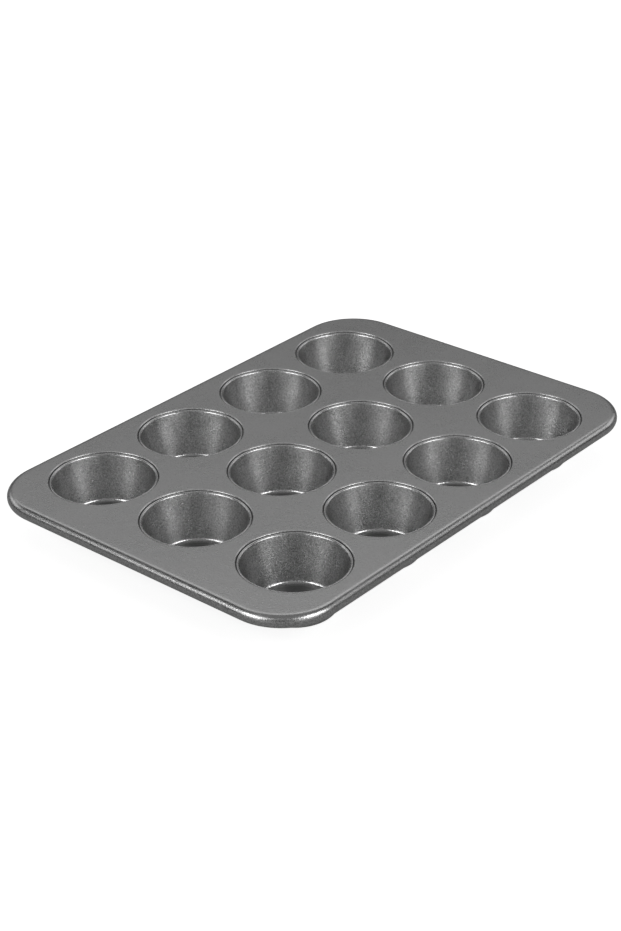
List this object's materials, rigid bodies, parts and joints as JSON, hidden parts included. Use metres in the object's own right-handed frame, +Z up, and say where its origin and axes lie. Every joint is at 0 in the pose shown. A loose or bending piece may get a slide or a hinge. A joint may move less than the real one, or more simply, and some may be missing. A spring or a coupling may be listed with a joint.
{
  "type": "muffin tin",
  "caption": "Rectangular metal baking tin with rounded corners, a rolled wire edge and a grid of tapered round cups crimped into its plate.",
  "frame": {"origin": "on the table under the middle of the tin, level with the undersides of the cups", "axes": "+X along the tin's long side, +Y along its short side, +Z up, out of the cups' mouths"},
  "size_m": [0.4008, 0.2854, 0.0348],
  "materials": {
    "plate_coating": "satin",
    "cup_coating": "satin",
    "wire_steel": "satin"
  },
  "bodies": {
    "root": {"frame_plate": "plate_coating", "rim_wire": "wire_steel", "cup_01": "cup_coating", "cup_02": "cup_coating", "cup_03": "cup_coating", "cup_04": "cup_coating", "cup_05": "cup_coating", "cup_06": "cup_coating", "cup_07": "cup_coating", "cup_08": "cup_coating", "cup_09": "cup_coating", "cup_10": "cup_coating", "cup_11": "cup_coating", "cup_12": "cup_coating"}
  },
  "joints": []
}
